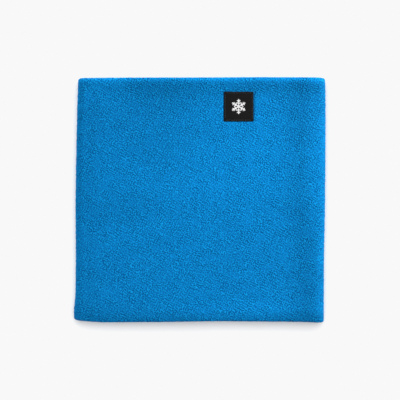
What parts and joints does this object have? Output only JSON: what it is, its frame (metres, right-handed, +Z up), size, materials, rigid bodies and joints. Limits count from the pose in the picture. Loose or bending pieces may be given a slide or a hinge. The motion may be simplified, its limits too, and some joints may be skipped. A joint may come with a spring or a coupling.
{
  "type": "neck gaiter",
  "caption": "Double-layer fleece neck gaiter laid flat: a tube open at both ends, with a square woven label on the front and a folded care label inside.",
  "frame": {"origin": "on the surface the gaiter lies on, under the middle of its bounding box", "axes": "+X across the flat width, towards the side nearer the woven label; +Y along the tube's axis, towards the top rim; +Z up, out of the front"},
  "size_m": [0.254, 0.249, 0.0185],
  "materials": {
    "fleece_outer": "matte",
    "fleece_lining": "matte",
    "seam_thread": "satin",
    "label_weave": "satin",
    "label_thread": "satin",
    "care_satin": "satin"
  },
  "bodies": {
    "root": {"outer_shell": "fleece_outer", "lining": "fleece_lining", "shell_back_seam_stitching": "seam_thread", "lining_back_seam_stitching": "seam_thread", "top_rim_stitching": "seam_thread", "bottom_rim_stitching": "seam_thread", "closing_stitches": "seam_thread", "woven_label": "label_weave", "woven_label_stitching": "label_thread"},
    "care_label": {"care_label": "care_satin"}
  },
  "joints": [
    {"name": "care_label_flap", "type": "hinge", "parent": "root", "child": "care_label", "pos_m": [-0.0026, -0.085, 0.00625], "axis": [0, -1, 0], "range_deg": [0, 8]}
  ]
}
